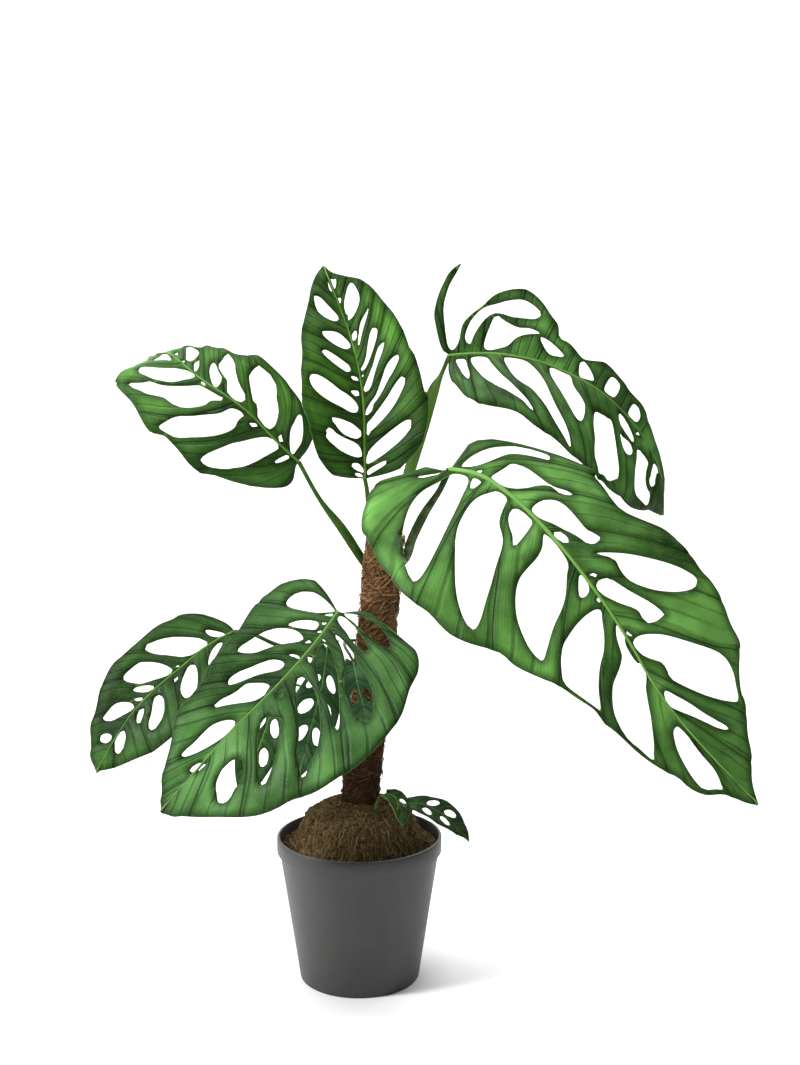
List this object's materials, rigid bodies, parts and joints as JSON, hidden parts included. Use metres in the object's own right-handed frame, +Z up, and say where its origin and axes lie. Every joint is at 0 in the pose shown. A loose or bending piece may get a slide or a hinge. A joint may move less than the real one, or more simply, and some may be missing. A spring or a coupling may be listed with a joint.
{
  "type": "potted monstera epipremnoides",
  "caption": "Climbing aroid with long, heavily perforated leaves on a coir pole, rooted in a tapered nursery pot with a mounded root ball",
  "frame": {"origin": "centre of the pot's underside", "axes": "X to the right of the front view, Y away from the front, Z up"},
  "size_m": [0.6351, 0.2765, 0.7317],
  "materials": {
    "pot": "moulded black nursery plastic, satin",
    "soil": "dark peat, bark and coir mix with moss",
    "stake": "raw wooden stake",
    "coir": "brown wound coconut fibre",
    "stem": "green-brown living stem",
    "leaf": "satin green leaf, paler below, with light midrib"
  },
  "bodies": {
    "root": {"pot": "pot", "soil": "soil", "pole_stake": "stake", "pole_coir": "coir", "stem": "stem", "leaf_a": "leaf", "leaf_b": "leaf", "leaf_c": "leaf", "leaf_d": "leaf", "leaf_e": "leaf", "leaf_f": "leaf", "leaf_g": "leaf", "leaf_h": "leaf", "leaf_i": "leaf", "leaf_j": "leaf", "leaf_k": "leaf"}
  },
  "joints": []
}
